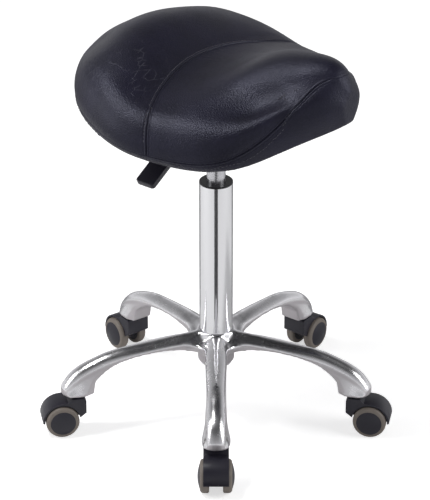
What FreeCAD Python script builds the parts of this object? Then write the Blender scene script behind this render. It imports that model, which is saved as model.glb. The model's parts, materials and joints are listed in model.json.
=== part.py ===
import FreeCAD, Part
import Sketcher
import math
import os

# A saddle stool: a five-legged base on twin-wheel casters, a gas column, a lever-worked seat
# mechanism and an upholstered saddle. Millimetres. The origin is on the floor, on the column's
# axis. +X is the way the sitter faces, +Y is the sitter's left and +Z is up.

os.makedirs("parts", exist_ok=True)
doc = FreeCAD.newDocument("SaddleStool")
sheet = doc.addObject("Spreadsheet::Sheet", "Sizes")

LEGS = 5
FIRST_LEG_ANGLE = -52
CASTER_TURNS = (0, 7.5, 0, 0, -7.5)
BALLS = 10
SIDES = (1, -1)

SIZES = {
    # base casting
    "stem_circle": 218, "hub_top": 138, "hub_bottom": 82, "hub_collar_radius": 27,
    "hub_waist_radius": 29.5, "hub_barrel_radius": 27.5, "hub_foot_chamfer": 4,
    "hub_collar_height": 12, "hub_waist_height": 10, "hub_flare_height": 12,
    "hub_web_radius": 20, "hub_web_foot": 112, "hub_web_top": 123.5, "hub_web_bite": 1.5,
    "leg_floor_gap": 65, "leg_prism_height": 90, "nose_radius": 24, "leg_half_width": 17.5,
    "leg_waist_half_width": 15.8, "leg_waist_at": 150, "leg_flare_radius": 24,
    "channel_half_width": 9, "channel_start": 36, "channel_end": 178, "channel_foot": 40,
    "leg_section_foot": 48, "leg_end_face": 196, "belly_half_width": 40,
    "wall_above_channel": 8, "ridge_start": 14, "ridge_end": 156, "ridge_start_radius": 15,
    "ridge_end_radius": 1, "ridge_start_top": 137.5, "ridge_end_top": 126,
    # casters
    "wheel_radius": 25, "wheel_trail": 24.5, "tread_depth": 6, "tread_inner_round": 3,
    "tread_outer_round": 5.5, "wheel_inner_face": 10, "wheel_outer_face": 23.5, "cap_rise": 3.5,
    "cap_gap": 0.3, "axle_radius": 3, "axle_half_length": 24, "running_gap": 0.05,
    "hood_half_width": 18.6, "web_half_width": 9, "cutter_reach": 1, "hood_radius": 29.5,
    "hood_arc_end": 0.5, "hood_shelf_end": 9, "hood_shelf_height": 55.5,
    "hood_slant_end": 15, "hood_top": 61.5,
    "opening_radius": 26.5, "hood_back": 36, "hood_lip_height": 24.5,
    "hood_heel_height": 37.5, "hood_heel_foot": 29, "hood_heel_reach": 25, "hood_corner": 5,
    "web_foot": 16, "stem_radius": 5.5, "stem_foot": 36, "stem_top": 92, "stem_chamfer": 1.5,
    "collar_radius": 9, "collar_height": 3, "groove_depth": 0.7, "groove_foot": 84,
    "groove_height": 4, "ring_gap": 0.3, "stem_bore_top": 93,
    # column
    "tube_radius": 25, "tube_foot": 80, "tube_foot_radius": 23.4, "tube_top": 379,
    "tube_bore": 22, "tube_floor": 3, "bush_length": 75, "bush_bore_gap": 0.08,
    "bush_flange": 2.5, "bush_chamfer": 0.8, "piston_radius": 14, "piston_wall": 2,
    "piston_foot": 155, "pin_gap": 0.1,
    "piston_roof": 425, "taper_foot": 434, "taper_top": 466, "taper_top_radius": 13.2,
    "rod_radius": 5, "rod_foot": 75, "rod_top": 260, "gas_piston_foot": 258,
    "gas_piston_height": 10, "seal_height": 18, "seal_foot": 157, "race_radius": 15,
    "race_height": 2, "race_gap": 1, "ball_radius": 1.9, "ball_circle": 11,
    "ball_clearance": 0.2, "pocket_gap": 0.1, "washer_gap": 0.1,
    "cage_inner": 8, "cage_outer": 14, "cage_height": 1.2, "bumper_radius": 14,
    "bumper_height": 13, "foot_washer_radius": 10, "foot_washer_height": 0.8, "clip_radius": 8,
    "clip_height": 0.9, "clip_width": 6, "pin_radius": 2.2, "pin_foot": 415, "pin_top": 470.5,
    # seat mechanism
    "socket_radius": 19, "plate_underside": 482, "plate_height": 3, "plate_half_length": 80,
    "plate_half_width": 60, "plate_corner": 12, "tray_half_length": 36, "tray_half_width": 44,
    "tray_foot": 446, "tray_wall": 2.5, "slot_half_width": 8, "slot_foot": 456,
    "lever_height": 474.8, "pivot_out": 34, "pivot_radius": 2.5, "pivot_half_length": 13,
    "pivot_pin_half_length": 9,
    "eye_radius": 6.5, "eye_half_width": 4.5, "ear_gap": 0.4, "ear_height": 14,
    "ear_thickness": 2.5, "ear_half_width": 6, "lever_radius": 4, "lever_inner_end": 6,
    "lever_bend": 95, "lever_droop": 28, "lever_tail": 46, "paddle_start": 6, "paddle_end": 79,
    "paddle_half_width": 15.8, "paddle_height": 8.5, "paddle_corner": 5,
    # seat
    "board_underside": 486, "board_height": 12, "board_radius": 165, "board_front": 115,
    "board_back": 105, "dust_cover_height": 1, "window_foot": 470, "cover_skin": 2,
    "side_bulge": 0.1, "crown_first": 0.4, "crown_second": 0.78,
    "cross_seam_at": -28, "cross_seam_radius": 378, "band_back": 540, "band_side_at": -80,
    "band_side": 515, "band_front_at": 40, "band_front": 499, "band_front_sag": 1,
    "band_turn_at": 104, "band_turn": 500, "band_turn_sag": 7.5, "nose_seam_low_at": 176,
    "nose_seam_low": 546, "nose_seam_bow": 1.5, "nose_seam_high_at": 196,
    "nose_seam_high": 595, "nose_seam_end_at": 224, "nose_seam_end": 700, "seam_reach": 300,
    "seam_cutter_foot": 400, "seam_cutter_height": 300,
    # fasteners
    "bolt_length_pitch": 62, "bolt_width_pitch": 46, "bolt_radius": 3, "bolt_head_radius": 6,
    "bolt_head_height": 4, "bolt_top": 496, "washer_radius": 7.5, "washer_height": 1.2,
    "nut_radius": 4, "nut_flange_radius": 9, "nut_flange_height": 1.3, "hole_gap": 0.3,
}

# Each row of the saddle: where it stands, its half width, the heights of its widest line, of its
# crest and of its lower edge, that edge's half width, and the parts of the crown's fall reached
# at its two knuckles.
SEAT_COLUMNS = ("along", "half", "wide", "crest", "edge", "edge_half", "fall", "shoulder")
SEAT_ROWS = (
    (-200, 44.6, 543.7, 561.6, 521.4, 25.7, 0.12, 0.45),
    (-190, 77.9, 541, 574.5, 513.1, 63, 0.12, 0.42),
    (-168, 115.5, 535.7, 589.4, 504.3, 103.8, 0.14, 0.38),
    (-130, 157.9, 531.3, 609, 498.5, 141.1, 0.11, 0.34),
    (-80, 185.6, 520.8, 604.6, 492.4, 166.5, 0.07, 0.3),
    (-20, 198.8, 508.6, 574, 486.9, 179.7, 0.05, 0.19),
    (40, 187.2, 499.9, 577.3, 484, 175.3, 0.08, 0.28),
    (95, 169.8, 499.6, 608.1, 483.6, 159, 0.21, 0.48),
    (140, 140.3, 511.7, 621.9, 490.1, 130, 0.29, 0.58),
    (175, 101.1, 544.6, 627.2, 507, 92.1, 0.27, 0.63),
    (205, 64.4, 562.1, 626.1, 523.4, 53.8, 0.2, 0.63),
    (226, 38.2, 566.5, 613.5, 534.2, 23, 0.17, 0.59),
    (238, 16, 568.1, 589.9, 542.3, 6, 0.19, 0.51),
)

# Each section of a leg: how far out it stands, its half widths at foot and shoulder, and the
# heights of its shoulder and crest. All feet stand at one height and are trimmed afterwards.
LEG_COLUMNS = ("out", "foot", "shoulder", "side", "crest")
LEG_ROWS = (
    (20, 22, 17.2, 124, 131),
    (60, 21, 16.5, 124.8, 132),
    (104, 20, 15.6, 121.5, 130),
    (145, 20, 14.8, 115.5, 126),
    (175, 21.5, 14.6, 107, 120.6),
    (200, 25, 14.6, 95.5, 111.8),
    (217, 27, 14.6, 87.5, 103.5),
    (232, 28, 13.5, 76, 90.5),
    (247, 26, 10, 56, 66),
)

# The underside of a leg from the hub to the inner face of its end, as places along three arcs.
BELLY_COLUMNS = ("out", "height")
BELLY_ROWS = (
    (20, 98), (42, 110), (65, 116), (104, 117), (148, 110.5), (175, 99.5), (192.5, 84),
)


class Size:
    """A length that carries both its number and the expression that gives it in the sheet."""

    def __init__(self, value, text):
        self.value = float(value)
        self.text = text

    @staticmethod
    def of(other):
        return other if isinstance(other, Size) else Size(other, str(other))

    def __add__(self, other):
        other = Size.of(other)
        return Size(self.value + other.value, f"({self.text} + {other.text})")

    def __sub__(self, other):
        other = Size.of(other)
        return Size(self.value - other.value, f"({self.text} - {other.text})")

    def __mul__(self, other):
        other = Size.of(other)
        return Size(self.value * other.value, f"({self.text} * {other.text})")

    __radd__ = __add__
    __rmul__ = __mul__

    def __rsub__(self, other):
        return Size.of(other) - self

    def __neg__(self):
        return Size(-self.value, f"(0 - {self.text})")


class Sizes:
    """Every named size, written to the sheet and read back as Size."""


S = Sizes()
row = 0


def enter(name, value):
    """Writes one plain number to the sheet under its name."""
    global row
    row += 1
    sheet.set(f"A{row}", name.replace("_", " "))
    sheet.set(f"B{row}", str(value))
    sheet.setAlias(f"B{row}", name)
    setattr(S, name, Size(value, f"Sizes.{name}"))


for size_name, size_value in SIZES.items():
    enter(size_name, size_value)
for index, values in enumerate(SEAT_ROWS, 1):
    for column, value in zip(SEAT_COLUMNS, values):
        enter(f"seat_{column}_{index}", value)
for index, values in enumerate(LEG_ROWS, 1):
    for column, value in zip(LEG_COLUMNS, values):
        enter(f"leg_{column}_{index}", value)
for index, values in enumerate(BELLY_ROWS, 1):
    for column, value in zip(BELLY_COLUMNS, values):
        enter(f"belly_{column}_{index}", value)
doc.recompute()


def number(name):
    """The number in a cell of the sheet."""
    return float(sheet.get(name))


PARTS = []


def bind(thing, path, size):
    """Ties one property of an object to the sheet."""
    size = Size.of(size)
    thing.setExpression(path, size.text)


def place(thing, x=0, y=0, z=0, axis=None, angle=0):
    """Puts an object at a place given by sizes, turned by an angle about an axis."""
    turn = FreeCAD.Rotation(FreeCAD.Vector(*(axis or (0, 0, 1))), angle)
    at = [Size.of(v) for v in (x, y, z)]
    thing.Placement = FreeCAD.Placement(FreeCAD.Vector(*[v.value for v in at]), turn)
    for letter, size in zip("xyz", at):
        if size.text != "0":
            bind(thing, f"Placement.Base.{letter}", size)
    return thing


def named(thing, label):
    """Marks an object as one sub-part of the stool."""
    thing.Label = label
    PARTS.append(thing)
    return thing


def add(kind, hint):
    return doc.addObject(kind, hint)


def cylinder(radius, height, **at):
    made = add("Part::Cylinder", "Cylinder")
    bind(made, "Radius", radius)
    bind(made, "Height", height)
    return place(made, **at)


def cone(foot_radius, top_radius, height, **at):
    made = add("Part::Cone", "Cone")
    bind(made, "Radius1", foot_radius)
    bind(made, "Radius2", top_radius)
    bind(made, "Height", height)
    return place(made, **at)


def block(length, width, height, **at):
    made = add("Part::Box", "Box")
    bind(made, "Length", length)
    bind(made, "Width", width)
    bind(made, "Height", height)
    return place(made, **at)


def centred_block(half_length, half_width, height, z, x=0, y=0):
    return block(2 * half_length, 2 * half_width, height, x=x - half_length, y=y - half_width, z=z)


def ball(radius, **at):
    made = add("Part::Sphere", "Sphere")
    bind(made, "Radius", radius)
    return place(made, **at)


def cut(base, *tools):
    made = add("Part::Cut", "Cut")
    made.Base = base
    made.Tool = tools[0] if len(tools) == 1 else fuse(*tools)
    return made


def fuse(*shapes):
    made = add("Part::MultiFuse", "Fusion")
    made.Shapes = list(shapes)
    return made


def common(first, second):
    made = add("Part::MultiCommon", "Common")
    made.Shapes = [first, second]
    return made


def group(*shapes):
    """Separate solids kept together as one sub-part."""
    made = add("Part::Compound", "Group")
    made.Links = list(shapes)
    return made


def ring(outer, inner, height, z=0, **at):
    """A round tube or washer on the vertical axis."""
    return cut(cylinder(outer, height, z=z, **at), cylinder(inner, height, z=z, **at))


def free_form(shape, hint="Form"):
    """A shape that primitives can't give, made from the sheet's numbers."""
    made = add("Part::Feature", hint)
    made.Shape = shape
    return made


def vector(x, y, z=0.0):
    return FreeCAD.Vector(x, y, z)


def origin_plane(body, role):
    return next(f for f in body.Origin.OriginFeatures if getattr(f, "Role", "") == role)


def sketch_on(body, role, corners):
    """A closed sketch on one of the body's own planes. Each corner is (x, y) or, where a round
    stretch leads to it, (x, y, centre x, centre y), all in sizes; a round stretch turns left."""
    made = body.newObject("Sketcher::SketchObject", "Outline")
    made.AttachmentSupport = [(origin_plane(body, role), "")]
    made.MapMode = "FlatFace"
    corners = [tuple(Size.of(v) for v in c) for c in corners]
    count = len(corners)
    for i, corner in enumerate(corners):
        start = corners[i - 1]
        a = vector(start[0].value, start[1].value)
        b = vector(corner[0].value, corner[1].value)
        if len(corner) == 2:
            made.addGeometry(Part.LineSegment(a, b), False)
            continue
        centre = vector(corner[2].value, corner[3].value)
        first = math.atan2(a.y - centre.y, a.x - centre.x)
        last = math.atan2(b.y - centre.y, b.x - centre.x)
        circle = Part.Circle(centre, vector(0, 0, 1), (a - centre).Length)
        made.addGeometry(Part.ArcOfCircle(circle, first, last), False)
    for i in range(count):
        made.addConstraint(Sketcher.Constraint("Coincident", i, 2, (i + 1) % count, 1))
    for i, corner in enumerate(corners):
        for kind, axis_line, size in (("DistanceX", -2, corner[0]), ("DistanceY", -1, corner[1])):
            if size.value == 0:
                made.addConstraint(Sketcher.Constraint("PointOnObject", i, 2, axis_line))
                continue
            spot = made.addConstraint(Sketcher.Constraint(kind, -1, 1, i, 2, size.value))
            made.setExpression(f"Constraints[{spot}]", size.text)
        if len(corner) == 4:
            centre_y = Sketcher.Constraint("DistanceY", -1, 1, i, 3, corner[3].value)
            spot = made.addConstraint(centre_y)
            made.setExpression(f"Constraints[{spot}]", corner[3].text)
    return made


def turned(corners):
    """A body of revolution about the vertical axis from a half section of (radius, height)."""
    body = add("PartDesign::Body", "Turned")
    profile = sketch_on(body, "XZ_Plane", corners)
    made = body.newObject("PartDesign::Revolution", "Revolution")
    made.Profile = profile
    made.ReferenceAxis = (profile, ["V_Axis"])
    made.Angle = 360
    return body


def padded_outline(role, corners, thickness):
    """An outline thickened evenly to both sides of its plane."""
    body = add("PartDesign::Body", "Padded")
    profile = sketch_on(body, role, corners)
    made = body.newObject("PartDesign::Pad", "Pad")
    made.Profile = profile
    made.SideType = "Symmetric"
    bind(made, "Length", thickness)
    return body


# The base casting
def leg_section(index):
    """One cross section of a leg that runs along +X: flat foot, leaning walls, round crown."""
    out, foot, shoulder, side, crest = (
        number(f"leg_{column}_{index}") for column in LEG_COLUMNS
    )
    under = S.leg_section_foot.value
    corner = [vector(out, -foot, under), vector(out, foot, under)]
    top = [vector(out, shoulder, side), vector(out, -shoulder, side)]
    crown = Part.Arc(top[0], vector(out, 0, crest), top[1])
    return Part.Wire([
        Part.LineSegment(corner[0], corner[1]).toShape(),
        Part.LineSegment(corner[1], top[0]).toShape(),
        crown.toShape(),
        Part.LineSegment(top[1], corner[0]).toShape(),
    ])


def leg_outline():
    """A leg seen from above: a waisted bar that flares into the round nose over the caster."""
    nose = S.nose_radius.value
    stem = S.stem_circle.value
    flare = S.leg_flare_radius.value
    root_half = S.leg_half_width.value
    waist_half = S.leg_waist_half_width.value
    waist = S.leg_waist_at.value
    reach = nose + flare
    flare_y = waist_half + flare
    flare_x = stem - math.sqrt(reach**2 - flare_y**2)
    touch = vector(stem, 0) + (vector(flare_x, flare_y) - vector(stem, 0)) * (nose / reach)
    middle = vector(flare_x, flare_y) + turned_vector(
        vector(0, -flare), 0.5 * math.atan2(touch.x - flare_x, flare_y - touch.y)
    )
    points = [vector(0, root_half), vector(waist, waist_half), vector(flare_x, waist_half)]
    edges = []
    for mirror in SIDES:
        side = [vector(p.x, mirror * p.y) for p in points + [middle, touch]]
        edges.append(Part.LineSegment(side[0], side[1]).toShape())
        edges.append(Part.LineSegment(side[1], side[2]).toShape())
        edges.append(Part.Arc(side[2], side[3], side[4]).toShape())
    tip = Part.Arc(touch, vector(stem + nose, 0), vector(touch.x, -touch.y))
    edges.append(tip.toShape())
    edges.append(Part.LineSegment(vector(0, root_half), vector(0, -root_half)).toShape())
    return Part.Wire(Part.__sortEdges__(edges))


def turned_vector(v, angle):
    c, s = math.cos(angle), math.sin(angle)
    return vector(c * v.x - s * v.y, s * v.x + c * v.y, v.z)


def leg_channel():
    """The open channel under a leg, a level wall's thickness below the crest."""
    start = S.channel_start.value
    end = S.channel_end.value
    roof = [
        (number(f"leg_out_{i}"), number(f"leg_crest_{i}") - S.wall_above_channel.value)
        for i in range(1, len(LEG_ROWS) + 1)
    ]
    inside = [p for p in roof if start < p[0] < end]
    heights = [inside[0][1]] + [z for _, z in inside] + [inside[-1][1]]
    along = [start] + [x for x, _ in inside] + [end]
    half = S.channel_half_width.value
    corners = [vector(x, -half, z) for x, z in zip(along, heights)]
    foot = S.channel_foot.value
    corners += [vector(end, -half, foot), vector(start, -half, foot)]
    face = Part.Face(Part.makePolygon(corners + corners[:1]))
    return face.extrude(vector(0, 2 * half, 0))


def leg_belly():
    """The space under a leg, from the hub out to the inner face of the leg's end."""
    count = len(BELLY_ROWS)
    half = S.belly_half_width.value
    places = [
        vector(number(f"belly_out_{i}"), -half, number(f"belly_height_{i}"))
        for i in range(1, count + 1)
    ]
    foot = S.channel_foot.value
    edges = [
        Part.Arc(*places[i:i + 3]).toShape() for i in range(0, count - 1, 2)
    ]
    edges.append(Part.makePolygon([
        places[-1], vector(S.leg_end_face.value, -half, S.leg_floor_gap.value),
        vector(S.leg_end_face.value, -half, foot), vector(places[0].x, -half, foot), places[0],
    ]))
    wire = Part.Wire([e for shape in edges for e in shape.Edges])
    return Part.Face(wire).extrude(vector(0, 2 * half, 0))


def leg_ridge():
    """The ridge that runs from the hub's collar down the middle of a leg to a point."""
    start_height = S.ridge_start_top.value - S.ridge_start_radius.value
    end_height = S.ridge_end_top.value - S.ridge_end_radius.value
    start = vector(S.ridge_start.value, 0, start_height)
    end = vector(S.ridge_end.value, 0, end_height)
    along = end - start
    return Part.makeCone(
        S.ridge_start_radius.value, S.ridge_end_radius.value, along.Length, start, along
    )


def leg():
    crowned = Part.makeLoft([leg_section(i) for i in range(1, len(LEG_ROWS) + 1)], True)
    floor_gap = S.leg_floor_gap.value
    prism = Part.Face(leg_outline()).extrude(vector(0, 0, S.leg_prism_height.value))
    prism.translate(vector(0, 0, floor_gap))
    made = crowned.common(prism).fuse(leg_ridge()).cut(leg_channel()).cut(leg_belly())
    bore = Part.makeCylinder(
        S.stem_radius.value + S.running_gap.value,
        S.stem_bore_top.value - floor_gap,
        vector(S.stem_circle.value, 0, floor_gap),
    )
    return made.cut(bore)


def hub():
    """The hub round the column's foot, with its long taper bored out."""
    collar, waist, barrel = (
        S.hub_collar_radius.value, S.hub_waist_radius.value, S.hub_barrel_radius.value
    )
    top, bottom = S.hub_top.value, S.hub_bottom.value
    chamfer = S.hub_foot_chamfer.value
    waist_top = top - S.hub_collar_height.value
    waist_foot = waist_top - S.hub_waist_height.value
    barrel_top = waist_foot - S.hub_flare_height.value
    corners = [
        vector(0, 0, bottom), vector(barrel - chamfer, 0, bottom),
        vector(barrel, 0, bottom + chamfer), vector(barrel, 0, barrel_top),
        vector(waist, 0, waist_foot), vector(waist, 0, waist_top),
        vector(collar, 0, top), vector(0, 0, top),
    ]
    face = Part.Face(Part.makePolygon(corners + corners[:1]))
    return face.revolve(vector(0, 0, 0), vector(0, 0, 1), 360)


def hub_webs():
    """The hollow-cornered webs that join neighbouring legs at the hub."""
    radius = S.hub_web_radius.value
    half = S.leg_half_width.value
    foot = S.hub_web_foot.value
    height = S.hub_web_top.value - foot
    half_turn = math.pi / LEGS
    corner_at = (half + radius) / math.sin(half_turn)
    reach = math.hypot((half + radius) / math.tan(half_turn), half)
    webs = Part.makeCylinder(reach, height, vector(0, 0, foot))
    corner = Part.makeCylinder(radius, height, vector(corner_at, 0, foot))
    bar_half = half - S.hub_web_bite.value
    bar = Part.makeBox(reach, 2 * bar_half, height, vector(0, -bar_half, foot))
    for k in range(LEGS):
        for cutter, turn in ((bar, k), (corner, k + 0.5)):
            turned_cutter = cutter.copy()
            turned_cutter.rotate(
                vector(0, 0, 0), vector(0, 0, 1), FIRST_LEG_ANGLE + 360 / LEGS * turn
            )
            webs = webs.cut(turned_cutter)
    return webs


def tube_taper():
    """The cone that the column's foot and the hub's bore share."""
    return Part.makeCone(
        S.tube_foot_radius.value, S.tube_radius.value,
        S.hub_top.value - S.tube_foot.value, vector(0, 0, S.tube_foot.value),
    )


def star_base():
    one_leg = leg()
    casting = hub().fuse(hub_webs())
    for k in range(LEGS):
        spoke = one_leg.copy()
        spoke.rotate(vector(0, 0, 0), vector(0, 0, 1), FIRST_LEG_ANGLE + 360 / LEGS * k)
        casting = casting.fuse(spoke)
    return casting.cut(tube_taper()).removeSplitter()


named(free_form(star_base(), "StarBase"), "star_base")


# The five casters
def leg_angle(k):
    return FIRST_LEG_ANGLE + 360 / LEGS * (k - 1)


def caster_angle(k):
    """The way caster k trails, a little off its leg's line where it has swung."""
    return leg_angle(k) + CASTER_TURNS[k - 1]


def toward(distance, degrees):
    """The x and y of a step of that length in that direction."""
    distance = Size.of(distance)
    angle = math.radians(degrees)
    return (
        Size(distance.value * math.cos(angle), f"({distance.text} * cos({degrees} deg))"),
        Size(distance.value * math.sin(angle), f"({distance.text} * sin({degrees} deg))"),
    )


def caster_stem():
    stem_radius = S.stem_radius
    groove = stem_radius - S.groove_depth
    collar_foot = S.hood_top
    chamfer = S.stem_chamfer
    return turned([
        (0, S.stem_foot), (stem_radius, S.stem_foot), (stem_radius, collar_foot),
        (S.collar_radius, collar_foot), (S.collar_radius, collar_foot + S.collar_height),
        (stem_radius, collar_foot + S.collar_height), (stem_radius, S.groove_foot),
        (groove, S.groove_foot), (groove, S.groove_foot + S.groove_height),
        (stem_radius, S.groove_foot + S.groove_height), (stem_radius, S.stem_top - chamfer),
        (stem_radius - chamfer, S.stem_top), (0, S.stem_top),
    ])


def across_circle(radius, offset):
    """How far a circle stands from its centre line at an offset along it."""
    return Size(
        math.sqrt(radius.value**2 - offset.value**2), f"sqrt({radius.text} ^ 2 - {offset.text} ^ 2)"
    )


def caster_hood():
    """The hood, in a frame whose origin is under the stem and whose +X is the way it trails."""
    axle_x = S.wheel_trail
    axle_z = S.wheel_radius
    heel = S.hood_back - S.wheel_trail
    top = S.hood_top
    corner = S.hood_corner
    lip_reach = across_circle(S.hood_radius, axle_z - S.hood_lip_height)
    arc_rise = across_circle(S.hood_radius, S.hood_arc_end)
    outline = padded_outline("XZ_Plane", [
        (-heel, S.hood_heel_height), (axle_x - S.hood_heel_reach, S.hood_heel_foot),
        (axle_x - S.web_half_width, S.web_foot), (axle_x + S.web_half_width, S.web_foot),
        (axle_x + lip_reach, S.hood_lip_height),
        (axle_x + S.hood_arc_end, axle_z + arc_rise, axle_x, axle_z),
        (axle_x - S.hood_shelf_end, S.hood_shelf_height),
        (axle_x - S.hood_slant_end, top), (corner - heel, top),
        (-heel, top - corner, corner - heel, top - corner),
    ], 2 * S.hood_half_width)
    depth = S.hood_half_width - S.web_half_width + S.cutter_reach
    openings = [
        cylinder(
            S.opening_radius, depth, x=axle_x, y=side * S.web_half_width, z=axle_z,
            axis=(1, 0, 0), angle=-90 * side,
        )
        for side in SIDES
    ]
    axle_bore = cylinder(
        S.axle_radius, 2 * S.hood_half_width, x=axle_x, y=S.hood_half_width, z=axle_z,
        axis=(1, 0, 0), angle=90,
    )
    stem_bore = cylinder(S.stem_radius, top - S.stem_foot, z=S.stem_foot)
    return cut(outline, *openings, axle_bore, stem_bore)


def wheel_hub():
    """One wheel's hub with its domed cap, its bore along +Z from the inner face."""
    hub_radius = S.wheel_radius - S.tread_depth
    bore = S.axle_radius + S.running_gap
    bore_end = S.axle_half_length + S.cap_gap
    dome_top = S.wheel_outer_face + S.cap_rise
    rise = S.cap_rise.value
    dome_value = (hub_radius.value**2 + rise**2) / (2 * rise)
    dome_radius = Size(
        dome_value, f"(({hub_radius.text} ^ 2 + {S.cap_rise.text} ^ 2) / (2 * {S.cap_rise.text}))"
    )
    return turned([
        (bore, S.wheel_inner_face), (hub_radius, S.wheel_inner_face),
        (hub_radius, S.wheel_outer_face), (0, dome_top, 0, dome_top - dome_radius),
        (0, bore_end), (bore, bore_end),
    ])


def wheel_tread():
    """One wheel's soft tyre, round at its shoulders."""
    outer = S.wheel_radius
    inner = outer - S.tread_depth
    low = S.wheel_inner_face
    high = S.wheel_outer_face
    near = S.tread_inner_round
    far = S.tread_outer_round
    return turned([
        (inner, low), (outer - near, low), (outer, low + near, outer - near, low + near),
        (outer, high - far), (outer - far, high, outer - far, high - far), (inner, high),
    ])


def stand_caster(thing, k):
    """Turns a piece made in the caster's frame the way caster k trails, under its stem."""
    x, y = toward(S.stem_circle, leg_angle(k))
    return place(thing, x=x, y=y, angle=caster_angle(k))


def stand_wheel(thing, k, side):
    """Lays a piece made on the vertical axis on the axle of caster k, facing one side."""
    lay = FreeCAD.Rotation(vector(1, 0, 0), -90 * side)
    turn = FreeCAD.Rotation(vector(0, 0, 1), caster_angle(k)).multiply(lay)
    stem_x, stem_y = toward(S.stem_circle, leg_angle(k))
    trail_x, trail_y = toward(S.wheel_trail, caster_angle(k))
    place(thing, x=stem_x + trail_x, y=stem_y + trail_y, z=S.wheel_radius)
    thing.Placement = FreeCAD.Placement(thing.Placement.Base, turn)
    return thing


def axle():
    return cylinder(S.axle_radius, 2 * S.axle_half_length)


for k in range(1, LEGS + 1):
    named(stand_caster(caster_stem(), k), f"caster_{k}_stem")
    named(stand_caster(caster_hood(), k), f"caster_{k}_hood")
    pin = stand_wheel(group(place(axle(), z=-S.axle_half_length)), k, 1)
    named(pin, f"caster_{k}_axle")
    for side, letter in zip(SIDES, "ab"):
        named(stand_wheel(wheel_hub(), k, side), f"caster_{k}_wheel_{letter}")
        named(stand_wheel(wheel_tread(), k, side), f"caster_{k}_tread_{letter}")

grip_rings = [
    stand_caster(
        group(ring(
            S.stem_radius + S.running_gap,
            S.stem_radius - S.groove_depth + S.running_gap,
            S.groove_height - 2 * S.ring_gap,
            z=S.groove_foot + S.ring_gap,
        )),
        k,
    )
    for k in range(1, LEGS + 1)
]
named(group(*grip_rings), "caster_grip_rings")


# The column: tube, guide bush and swivel bearing stand still with the base
floor_top = S.tube_foot + S.tube_floor
tube_blank = fuse(
    cone(S.tube_foot_radius, S.tube_radius, S.hub_top - S.tube_foot, z=S.tube_foot),
    cylinder(S.tube_radius, S.tube_top - S.hub_top, z=S.hub_top),
)
named(
    cut(
        tube_blank,
        cylinder(S.tube_bore, S.tube_top - floor_top, z=floor_top),
        cylinder(S.rod_radius + S.running_gap, S.tube_floor, z=S.tube_foot),
    ),
    "column_tube",
)

bush_bore = S.piston_radius + S.bush_bore_gap
bush_foot = S.tube_top - S.bush_length
flange_top = S.tube_top + S.bush_flange
named(
    turned([
        (bush_bore, bush_foot), (S.tube_bore, bush_foot), (S.tube_bore, S.tube_top),
        (S.tube_radius, S.tube_top), (S.tube_radius, flange_top - S.bush_chamfer),
        (S.tube_radius - S.bush_chamfer, flange_top), (bush_bore, flange_top),
    ]),
    "guide_bush",
)

lower_race_top = floor_top + S.race_height
ball_height = lower_race_top + S.ball_radius
upper_race_foot = ball_height + S.ball_radius + S.ball_clearance


def round_circle(make, count):
    """Copies spread evenly round the ball circle."""
    made = []
    for i in range(count):
        angle = math.radians(360 / count * i)
        x = Size(
            S.ball_circle.value * math.cos(angle), f"({S.ball_circle.text} * {math.cos(angle):.6f})"
        )
        y = Size(
            S.ball_circle.value * math.sin(angle), f"({S.ball_circle.text} * {math.sin(angle):.6f})"
        )
        made.append(make(x, y))
    return made


lower_race = ring(S.race_radius, S.rod_radius + S.race_gap, S.race_height, z=floor_top)
balls = round_circle(lambda x, y: ball(S.ball_radius, x=x, y=y, z=ball_height), BALLS)
cage_foot = ball_height - S.cage_height * 0.5
pockets = round_circle(
    lambda x, y: cylinder(S.ball_radius + S.pocket_gap, S.cage_height, x=x, y=y, z=cage_foot), BALLS
)
cage = cut(ring(S.cage_outer, S.cage_inner, S.cage_height, z=cage_foot), *pockets)
named(group(lower_race, cage, *balls), "thrust_bearing")

# The rod and what turns with it
upper_race_top = upper_race_foot + S.race_height
named(ring(S.race_radius, S.rod_radius, S.race_height, z=upper_race_foot), "bearing_upper_race")
named(ring(S.bumper_radius, S.rod_radius, S.bumper_height, z=upper_race_top), "rubber_bumper")
rod = cylinder(S.rod_radius, S.rod_top - S.rod_foot, z=S.rod_foot)
gas_piston = cut(
    cylinder(
        S.piston_radius - S.piston_wall - S.running_gap, S.gas_piston_height, z=S.gas_piston_foot
    ),
    cylinder(S.rod_radius, S.rod_top - S.gas_piston_foot, z=S.gas_piston_foot),
)
named(group(rod, gas_piston), "piston_rod")
washer_foot = S.tube_foot - S.foot_washer_height - S.washer_gap
foot_washer = ring(S.foot_washer_radius, S.rod_radius, S.foot_washer_height, z=washer_foot)
clip_foot = washer_foot - S.clip_height
clip = cut(
    ring(S.clip_radius, S.rod_radius, S.clip_height, z=clip_foot),
    block(S.clip_radius, S.clip_width, S.clip_height, y=S.clip_width * -0.5, z=clip_foot),
)
named(group(clip, foot_washer), "rod_clip")

# The piston cylinder and the seal that rides in its foot
taper_height = S.taper_top - S.taper_foot
named(
    cut(
        fuse(
            cylinder(S.piston_radius, S.taper_foot - S.piston_foot, z=S.piston_foot),
            cone(S.piston_radius, S.taper_top_radius, taper_height, z=S.taper_foot),
        ),
        cylinder(
            S.piston_radius - S.piston_wall, S.piston_roof - S.piston_foot, z=S.piston_foot
        ),
        cylinder(S.pin_radius + S.pin_gap, S.taper_top - S.piston_roof, z=S.piston_roof),
    ),
    "piston_cylinder",
)
named(
    ring(
        S.piston_radius - S.piston_wall, S.rod_radius + S.running_gap, S.seal_height,
        z=S.seal_foot,
    ),
    "rod_guide_seal",
)
named(cylinder(S.pin_radius, S.pin_top - S.pin_foot, z=S.pin_foot), "valve_pin")

# The seat mechanism
taper_socket = cut(
    cylinder(S.socket_radius, taper_height, z=S.taper_foot),
    cone(S.piston_radius, S.taper_top_radius, taper_height, z=S.taper_foot),
)

bolt_places = [
    (along * S.bolt_length_pitch, across * S.bolt_width_pitch)
    for along in SIDES for across in SIDES
]


def at_bolts(make):
    return [make(x, y) for x, y in bolt_places]


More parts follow.
